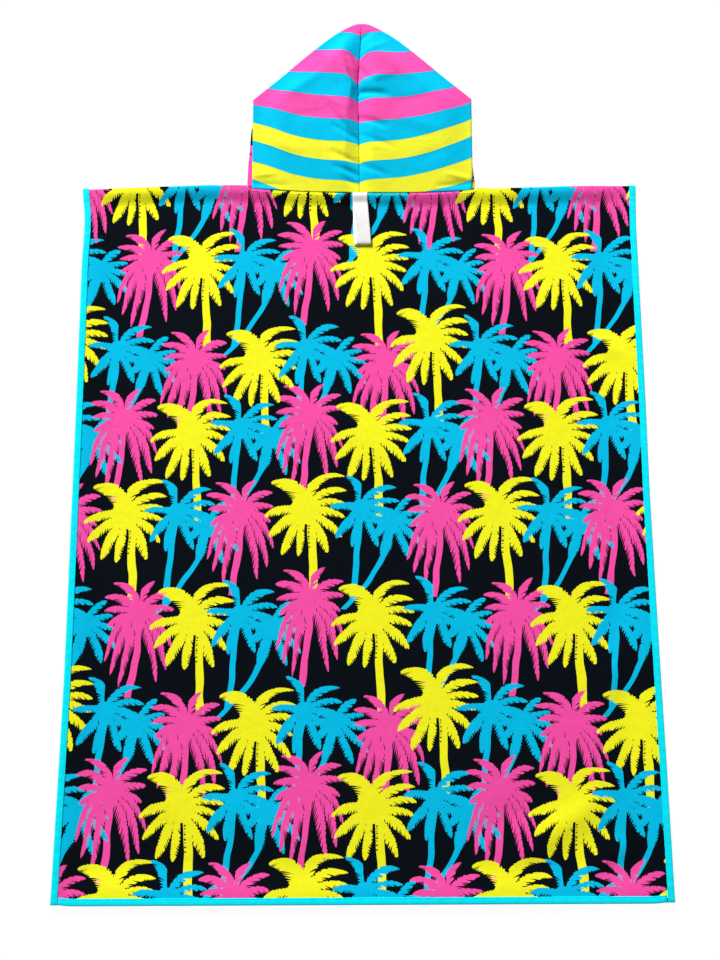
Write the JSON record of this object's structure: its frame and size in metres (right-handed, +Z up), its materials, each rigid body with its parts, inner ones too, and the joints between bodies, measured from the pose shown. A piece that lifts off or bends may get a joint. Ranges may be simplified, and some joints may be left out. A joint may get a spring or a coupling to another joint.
{
  "type": "hooded bath poncho",
  "caption": "Hooded towel poncho laid out face down: folded print body with bound edges, striped hood spread above it and a hanging loop at the neck.",
  "frame": {"origin": "on the floor, below the middle of the whole outline", "axes": "+X to the right of someone who stands at the hem, +Y from the hem to the hood's peak, +Z up out of the garment's back"},
  "size_m": [0.8, 1.263, 0.0183],
  "materials": {
    "print_towelling": "short matt nap, printed with pink, yellow and cyan palms on black",
    "striped_towelling": "short matt nap, printed with cyan, pink and yellow stripes",
    "binding_tape": "plain woven tape, matt",
    "loop_tape": "plain woven white tape with firm edges, matt"
  },
  "bodies": {
    "root": {"body": "print_towelling", "hood_left": "striped_towelling", "hood_right": "striped_towelling", "hood_lining": "print_towelling", "binding_side_left": "binding_tape", "binding_side_right": "binding_tape", "binding_hem_back": "binding_tape", "binding_hem_front": "binding_tape", "hanging_loop": "loop_tape"}
  },
  "joints": []
}
